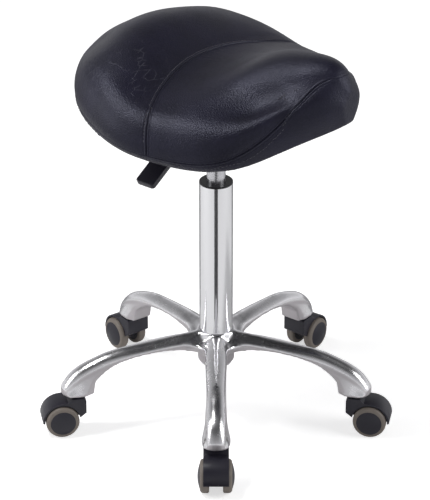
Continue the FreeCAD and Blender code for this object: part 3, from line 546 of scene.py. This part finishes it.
def distance_to_line(points, line):
    """The signed distance of flat points to a line, and the direction straight across it."""
    best = np.full(len(points), 1e9)
    signed = np.zeros(len(points))
    slope = np.zeros((len(points), 2))
    for a, b in zip(line[:-1], line[1:]):
        along = (b - a) / np.linalg.norm(b - a)
        across = np.array((-along[1], along[0]))
        offset = points - a
        t = np.clip(offset @ along, 0, np.linalg.norm(b - a))
        gap = points - (a + t[:, None] * along)
        size = np.linalg.norm(gap, axis=1)
        nearer = size < best
        best[nearer] = size[nearer]
        signed[nearer] = (np.sign(offset @ across) * size)[nearer]
        slope[nearer] = across
    return signed, slope


def seam_fields(points, facing):
    """For each point of the cover, its distances along the surface to both seams, in mm."""
    p = points / MM
    line = smooth_line(LOWER_SEAM, SEAM_SAMPLES)
    lower, slope = distance_to_line(p[:, [0, 2]], line)
    lean = slope[:, 0] * facing[:, 0] + slope[:, 1] * facing[:, 2]
    lower = lower / np.sqrt(np.clip(1 - lean**2, LEAST_SLOPE, 1))
    line = smooth_line(CROSS_SEAM, SEAM_SAMPLES)
    cross, slope = distance_to_line(p[:, :2], line)
    lean = np.sum(slope * facing[:, :2], axis=1)
    cross = -cross / np.sqrt(np.clip(1 - lean**2, LEAST_SLOPE, 1))
    return lower, cross


# The profile across a seam, in millimetres
GROOVE_DEPTH = 1.3
GROOVE_WIDTH = 0.75
LIP_HEIGHT = 0.45
LIP_WIDTH = 1.2
LIP_OFFSET = 2.0
STITCH_OFFSET = 4.2
STITCH_DEPTH = 0.45
STITCH_WIDTH = 0.7
PULL_DEPTH = 0.8
PULL_WIDTH = 12.0
NOSE_FADE = (200.0, 222.0)
NOSE_SHARE = 0.35
CROSS_SEAM_START = 1.0
CROSS_SEAM_ONSET = 1.5
REFINE_REACH = 9.0
REFINE_ROUNDS = 2
REACH_LOSS = 0.8


def seam_profile(distance):
    """How far the cover is pushed out beside a seam, in mm."""
    groove = -GROOVE_DEPTH * np.exp(-(distance / GROOVE_WIDTH) ** 2)
    lips = LIP_HEIGHT * np.exp(-((np.abs(distance) - LIP_OFFSET) / LIP_WIDTH) ** 2)
    stitch = -STITCH_DEPTH * np.exp(-((distance + STITCH_OFFSET) / STITCH_WIDTH) ** 2)
    pull = -PULL_DEPTH * np.exp(-(distance / PULL_WIDTH) ** 2)
    return groove + lips + stitch + pull


def refine_near_seams(obj):
    """Splits the faces near the seams so that a groove can be shaped in them."""
    reach = REFINE_REACH
    for _ in range(REFINE_ROUNDS):
        mesh = obj.data
        lower, cross = seam_fields(coordinates(mesh), normals(mesh))
        near = (np.abs(lower) < reach) | ((np.abs(cross) < reach) & (lower > -reach))
        tools = bmesh.new()
        tools.from_mesh(mesh)
        tools.verts.ensure_lookup_table()
        faces = [f for f in tools.faces if any(near[v.index] for v in f.verts)]
        edges = list({e for f in faces for e in f.edges})
        bmesh.ops.subdivide_edges(tools, edges=edges, cuts=1, use_grid_fill=True, smooth=0.0)
        tools.to_mesh(mesh)
        tools.free()
        mesh.shade_smooth()
        reach *= REACH_LOSS


def sew(obj):
    """Presses both seams into the cover, the cross seam only above the lower one."""
    mesh = obj.data
    points, facing = coordinates(mesh), normals(mesh)
    lower, cross = seam_fields(points, facing)
    push = seam_profile(lower) * np.interp(points[:, 0] / MM, NOSE_FADE, (1.0, NOSE_SHARE))
    above = 1 / (1 + np.exp(-(lower - CROSS_SEAM_START) * CROSS_SEAM_ONSET))
    push += seam_profile(cross) * above
    set_coordinates(mesh, points + facing * (push * MM)[:, None])
    mesh.shade_smooth()


HOLD_WIDTH = 10.0
HOLD_BELOW = -14.0
LEAST_HOLD = 0.02
CLOTH_PRESSURE = 4.0
CLOTH_PIN_STIFFNESS = 5.0
CLOTH_FRAMES = 20
SWELL_LIMIT = 3.0 * MM


def puff(obj):
    """Swells the cover between its seams with a short run of cloth under pressure."""
    start = coordinates(obj.data)
    lower, cross = seam_fields(start, normals(obj.data))
    hold = np.exp(-(lower / HOLD_WIDTH) ** 2) + np.exp(-(cross / HOLD_WIDTH) ** 2) * (lower > 0)
    hold = np.clip(hold + (lower < HOLD_BELOW), 0, 1)
    group = obj.vertex_groups.new(name="hold")
    for i, weight in enumerate(hold):
        if weight > LEAST_HOLD:
            group.add([i], float(weight), "REPLACE")
    cloth = obj.modifiers.new("Cloth", "CLOTH")
    cloth.settings.use_pressure = True
    cloth.settings.uniform_pressure_force = CLOTH_PRESSURE
    cloth.settings.effector_weights.gravity = 0.0
    cloth.settings.vertex_group_mass = "hold"
    cloth.settings.pin_stiffness = CLOTH_PIN_STIFFNESS
    scene = bpy.context.scene
    for number in range(1, CLOTH_FRAMES + 1):
        scene.frame_set(number)
    apply_modifiers(obj)
    scene.frame_set(1)
    moved = coordinates(obj.data) - start
    length = np.linalg.norm(moved, axis=1)
    kept = SWELL_LIMIT * np.tanh(length / SWELL_LIMIT)
    share = np.where(length > TINY, kept / np.maximum(length, TINY), 0)
    set_coordinates(obj.data, start + moved * share[:, None])


def subdivide(obj):
    modifier = obj.modifiers.new("Subdivision", "SUBSURF")
    modifier.levels = modifier.render_levels = 1
    apply_modifiers(obj)


def surface_tree(obj):
    faces = [tuple(f.vertices) for f in obj.data.polygons]
    return BVHTree.FromPolygons([tuple(p) for p in coordinates(obj.data)], faces)


PUFF_SHARE = 0.5
PUFF_LIMIT = 1.5 * MM
COVER_VOXEL = 0.005
CLOTH_RELAX_ROUNDS = 2
COVER_RELAX_ROUNDS = 5


def draw_to(obj, form):
    """Draws the cover back to its measured form, leaving it at most a little proud."""
    places = coordinates(obj.data)
    for i, place in enumerate(places):
        nearest, up, _, _ = form.find_nearest(Vector(place))
        proud = (Vector(place) - nearest).dot(up)
        places[i] = nearest + up * min(max(proud, 0.0) * PUFF_SHARE, PUFF_LIMIT)
    set_coordinates(obj.data, places)


def make_cover():
    cover = saddle_blank()
    hollow(cover, board_recess())
    form = surface_tree(cover)
    remesh(cover, COVER_VOXEL)
    puff(cover)
    relax(cover, CLOTH_RELAX_ROUNDS)
    subdivide(cover)
    draw_to(cover, form)
    relax(cover, COVER_RELAX_ROUNDS)
    refine_near_seams(cover)
    sew(cover)
    return dress(cover, VINYL)


def contour(points, edges, values, level):
    """Places on the mesh's edges where a field has that value."""
    a, b = edges[:, 0], edges[:, 1]
    low, high = values[a] - level, values[b] - level
    crossing = low * high < 0
    share = (low / (low - high))[crossing][:, None]
    return points[a][crossing] * (1 - share) + points[b][crossing] * share


def mesh_edges(mesh):
    found = np.zeros(len(mesh.edges) * 2, int)
    mesh.edges.foreach_get("vertices", found)
    return found.reshape(-1, 2)


def ordered(places, key, step):
    """One place for each step of a key that grows along the line."""
    order = np.argsort(key)
    places, key = places[order], key[order]
    bins = np.floor(key / step).astype(int)
    return np.array([places[bins == b].mean(axis=0) for b in np.unique(bins)])


def evenly(line, pitch):
    run = np.r_[0, np.cumsum(np.linalg.norm(np.diff(line, axis=0), axis=1))]
    at = np.arange(pitch * 0.5, run[-1], pitch)
    return np.c_[[np.interp(at, run, line[:, i]) for i in range(3)]].T


STITCH_PITCH = 0.0052
STITCH_LENGTH = 0.0038
STITCH_RADIUS = 0.00045
STITCH_SIDES = 6
STITCH_RINGS = 5
STITCH_ENDS = (0.12, 0.88)
STITCH_LIFT = 1.4
STITCH_SINK = 0.9


def stitches(name, line, tree):
    """A row of short threads laid on the cover along a line."""
    vertices, faces = [], []
    places = evenly(line, STITCH_PITCH)
    for i in range(1, len(places) - 1):
        along = Vector(places[i + 1] - places[i - 1]).normalized()
        spot, up, _, _ = tree.find_nearest(Vector(places[i]))
        side = along.cross(up).normalized()
        first = len(vertices)
        for r in range(STITCH_RINGS):
            t = r / (STITCH_RINGS - 1)
            low, high = STITCH_ENDS
            swell = math.sin(math.pi * (low + (high - low) * t))
            centre = spot + along * ((t - 0.5) * STITCH_LENGTH)
            centre = centre + up * (STITCH_RADIUS * (STITCH_LIFT * swell - STITCH_SINK))
            for k in range(STITCH_SIDES):
                a = 2 * math.pi * k / STITCH_SIDES
                vertices.append(
                    centre + (side * math.cos(a) + up * math.sin(a)) * STITCH_RADIUS * swell
                )
        for r in range(STITCH_RINGS - 1):
            for k in range(STITCH_SIDES):
                a = first + r * STITCH_SIDES + k
                b = first + r * STITCH_SIDES + (k + 1) % STITCH_SIDES
                faces.append((a, b, b + STITCH_SIDES, a + STITCH_SIDES))
        faces.append(tuple(range(first, first + STITCH_SIDES))[::-1])
        last = first + (STITCH_RINGS - 1) * STITCH_SIDES
        faces.append(tuple(range(last, last + STITCH_SIDES)))
    return dress(mesh_object(name, vertices, faces), THREAD)


STITCH_TURN = math.radians(1.0)
STITCH_TURN_CENTRE = 0.02
STITCH_STEP = 0.003
CROSS_STITCH_START = 3.0
UPWARD = (0.0, 0.0, 1.0)

cover = make_cover()
points, facing = coordinates(cover.data), normals(cover.data)
edges = mesh_edges(cover.data)
lower_field, cross_field = seam_fields(points, facing)
cover_tree = BVHTree.FromPolygons(
    [tuple(p) for p in points], [tuple(f.vertices) for f in cover.data.polygons]
)
lower_places = contour(points, edges, lower_field, -STITCH_OFFSET)
lower_line = ordered(
    lower_places,
    np.arctan2(lower_places[:, 1], lower_places[:, 0] - STITCH_TURN_CENTRE),
    STITCH_TURN,
)
cross_places = contour(points, edges, cross_field, -STITCH_OFFSET)
cross_lower, _ = seam_fields(cross_places, np.tile(UPWARD, (len(cross_places), 1)))
cross_places = cross_places[cross_lower > CROSS_STITCH_START]
cross_line = ordered(cross_places, cross_places[:, 1], STITCH_STEP)
lower_stitches = stitches("lower_seam_stitches", lower_line, cover_tree)
cross_stitches = stitches("cross_seam_stitches", cross_line, cover_tree)

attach(cover, "seat")
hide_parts("seat_foam", "cover_band_and_nose", "cover_middle_panel", "cover_rear_panel")
for thread in (lower_stitches, cross_stitches):
    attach(thread, "seat")


# Moulded pieces with their edges eased, and the casting
EDGE_SEGMENTS = 3
EDGE_ANGLE = math.radians(30.0)
SHARP_ANGLE = math.radians(40.0)
FLAT_ANGLE = math.radians(1.0)
WELD_DISTANCE = 1e-6
PADDLE_EDGE = 0.0016
HOOD_EDGE = 0.0010


def copied(node_name, ending):
    return link(bpy.data.objects.new(f"{node_name}_{ending}", NODES[node_name].data.copy()))


def show_instead(made, node_name):
    """Puts a finished copy in its CAD piece's place, on the same body."""
    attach(made, NODES[node_name]["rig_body"])
    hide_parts(node_name)


def eased(node_name, width):
    """A copy of a CAD piece with rounded edges, shown in its place."""
    made = copied(node_name, "eased")
    tools = bmesh.new()
    tools.from_mesh(made.data)
    bmesh.ops.remove_doubles(tools, verts=tools.verts, dist=WELD_DISTANCE)
    bmesh.ops.dissolve_limit(
        tools, angle_limit=FLAT_ANGLE, verts=tools.verts, edges=tools.edges
    )
    tools.to_mesh(made.data)
    tools.free()
    bevel = made.modifiers.new("Bevel", "BEVEL")
    bevel.width = width
    bevel.segments = EDGE_SEGMENTS
    bevel.limit_method = "ANGLE"
    bevel.angle_limit = EDGE_ANGLE
    apply_modifiers(made)
    made.data.shade_smooth()
    made.data.set_sharp_from_angle(angle=SHARP_ANGLE)
    show_instead(made, node_name)


eased("lever_paddle", PADDLE_EDGE)
for k in range(1, LEGS + 1):
    eased(f"caster_{k}_hood", HOOD_EDGE)


CASTING_VOXEL = 0.0016
CASTING_RELAX_ROUNDS = 10
HUB_REACH = 0.062
HUB_FADE = 0.020
SOCKET_REACH = 0.0262
SOCKET_FADE = 0.002
WEBS_ABOVE = 0.1
HUB_WEB_ROUNDS = 40
LEAST_WEIGHT = 0.01


def polished_base():
    """The casting with the soft edges and the rounded webs of a polished one."""
    made = copied("star_base", "polished")
    remesh(made, CASTING_VOXEL)
    relax(made, CASTING_RELAX_ROUNDS)
    spots = coordinates(made.data)
    reach = np.hypot(spots[:, 0], spots[:, 1])
    near = np.clip((HUB_REACH - reach) / HUB_FADE, 0, 1)
    near *= np.clip((reach - SOCKET_REACH) / SOCKET_FADE, 0, 1)
    near *= spots[:, 2] > WEBS_ABOVE
    group = made.vertex_groups.new(name="webs")
    for i in np.flatnonzero(near > LEAST_WEIGHT):
        group.add([int(i)], float(near[i]), "REPLACE")
    modifier = made.modifiers.new("Webs", "SMOOTH")
    modifier.vertex_group = "webs"
    modifier.iterations = HUB_WEB_ROUNDS
    apply_modifiers(made)
    made.vertex_groups.clear()
    made.data.shade_smooth()
    show_instead(made, "star_base")
    dress(made, CASTING)


polished_base()


# The studio
def area_light(name, place, aim, size, power):
    data = bpy.data.lights.new(name, "AREA")
    data.shape = "RECTANGLE"
    data.size, data.size_y = size
    data.energy = power
    lamp = link(bpy.data.objects.new(name, data))
    lamp.location = place
    lamp.rotation_euler = (Vector(aim) - Vector(place)).to_track_quat("-Z", "Y").to_euler()


# The light of the surroundings, from straight down (0) over the horizon (0.5) to straight up (1)
SKY_LEVELS = (
    (0.0, 0.9), (0.50, 0.95), (0.56, 0.78), (0.64, 0.44), (0.74, 0.40), (0.82, 0.20),
    (0.88, 0.06), (0.94, 0.05), (1.0, 0.20),
)


def studio_world():
    """A white backdrop to the camera, and a bright horizon under a dark ceiling to the stool."""
    world = bpy.data.worlds.new("studio")
    bpy.context.scene.world = world
    world.use_nodes = True
    tree = world.node_tree
    tree.nodes.clear()
    output = tree.nodes.new("ShaderNodeOutputWorld")
    seen = tree.nodes.new("ShaderNodeBackground")
    seen.inputs["Color"].default_value = (1.0, 1.0, 1.0, 1.0)
    lit = tree.nodes.new("ShaderNodeBackground")
    direction = tree.nodes.new("ShaderNodeTexCoord")
    split = tree.nodes.new("ShaderNodeSeparateXYZ")
    fade = tree.nodes.new("ShaderNodeValToRGB")
    for _ in range(len(SKY_LEVELS) - 2):
        fade.color_ramp.elements.new(0.5)
    for element, (at, level) in zip(fade.color_ramp.elements, SKY_LEVELS):
        element.position = at
        element.color = (level, level, level * 1.02, 1.0)
    shift = tree.nodes.new("ShaderNodeMath")
    shift.operation = "MULTIPLY_ADD"
    shift.inputs[1].default_value = 0.5
    shift.inputs[2].default_value = 0.5
    rays = tree.nodes.new("ShaderNodeLightPath")
    mix = tree.nodes.new("ShaderNodeMixShader")
    tree.links.new(direction.outputs["Generated"], split.inputs["Vector"])
    tree.links.new(split.outputs["Z"], shift.inputs[0])
    tree.links.new(shift.outputs["Value"], fade.inputs["Fac"])
    tree.links.new(fade.outputs["Color"], lit.inputs["Color"])
    tree.links.new(rays.outputs["Is Camera Ray"], mix.inputs["Fac"])
    tree.links.new(lit.outputs["Background"], mix.inputs[1])
    tree.links.new(seen.outputs["Background"], mix.inputs[2])
    tree.links.new(mix.outputs["Shader"], output.inputs["Surface"])


def floor_material():
    """A pale floor that keeps the stool's shadow and looks nearly white to the camera."""
    m = Nodes("pale_floor")
    shader = m.surface((0.90, 0.90, 0.90), 0.9, specular=0.1)
    mottled = m.noise(3.0, detail=2.0)
    pale = m.colours(mottled, (0.895, 0.895, 0.895), (0.905, 0.905, 0.905))
    m.join(pale, shader.inputs["Base Color"])
    rays = m.add("ShaderNodeLightPath")
    glow = m.add("ShaderNodeEmission")
    m.join(m.maths("MULTIPLY", rays.outputs["Is Camera Ray"], FLOOR_GLOW), glow.inputs["Strength"])
    both = m.add("ShaderNodeAddShader")
    m.join(shader.outputs["BSDF"], both.inputs[0])
    m.join(glow.outputs["Emission"], both.inputs[1])
    m.join(both.outputs["Shader"], m.output.inputs["Surface"])
    return m.material


def flag_material(name, level):
    """A dull card, lit evenly, that the bright metal mirrors."""
    m = Nodes(name)
    shader = m.surface((level, level, level * 1.02), 0.9, specular=0.1)
    m.join(m.ramp(m.noise(5.0), 0.3, 0.7, 0.85, 0.95), shader.inputs["Roughness"])
    return m.material


def floor_flag(name, azimuth, spread, near, far, material):
    """A wedge-shaped card lying on the floor, its point under the column, seen in mirrors only."""
    corners = []
    for reach, turns in ((near, (-1, 1)), (far, (1, -1))):
        for turn in turns:
            a = azimuth + turn * spread
            corners.append((math.sin(a) * reach, -math.cos(a) * reach, 0.0006))
    card = dress(mesh_object(name, corners, [(0, 1, 2, 3)]), material)
    card.visible_camera = False
    card.visible_diffuse = False
    card.visible_shadow = False
    return card


FLOOR_GLOW = 0.60
FLOOR_HALF = 6.0
corners = [(-FLOOR_HALF, -FLOOR_HALF), (FLOOR_HALF, -FLOOR_HALF), (FLOOR_HALF, FLOOR_HALF),
           (-FLOOR_HALF, FLOOR_HALF)]
floor = mesh_object("floor", [(x, y, 0.0) for x, y in corners], [(0, 1, 2, 3)])
dress(floor, floor_material())
studio_world()
floor_flag("front_flag", AZIMUTH, math.radians(12.0), 0.30, 2.5, flag_material("dark_flag", 0.07))
floor_flag("back_flag", AZIMUTH + math.pi, math.radians(50.0), 0.35, 3.0,
           flag_material("grey_flag", 0.36))


def from_camera(right, up, toward):
    """A place given as seen in the picture: metres right of, above and nearer than the stool."""
    side = Vector((math.cos(AZIMUTH), math.sin(AZIMUTH), 0.0))
    front = Vector((math.sin(AZIMUTH), -math.cos(AZIMUTH), 0.0))
    return side * right + front * toward + Vector((0.0, 0.0, up))


area_light("left_softbox", from_camera(-1.9, 1.2, 0.3), (0, 0, 0.30), (0.9, 1.2), 13.0)
area_light("right_softbox", from_camera(1.9, 1.2, 0.5), (0, 0, 0.35), (1.0, 1.4), 19.0)
area_light("top_softbox", from_camera(-1.1, 2.5, 0.05), (0, 0, 0.5), (0.5, 0.4), 30.0)

data = bpy.data.cameras.new("camera")
data.sensor_fit = "VERTICAL"
data.sensor_height = SENSOR
data.lens = FOCAL_PIXELS / PICTURE_HEIGHT * SENSOR
data.shift_x = SHIFT_X
data.clip_end = 50.0
camera = link(bpy.data.objects.new("camera", data))
toward_camera = camera_direction(AZIMUTH, ELEVATION)
camera.location = TARGET + toward_camera * DISTANCE
camera.rotation_euler = (-toward_camera).to_track_quat("-Z", "Y").to_euler()
bpy.context.scene.camera = camera
bpy.context.scene.view_settings.view_transform = "Standard"
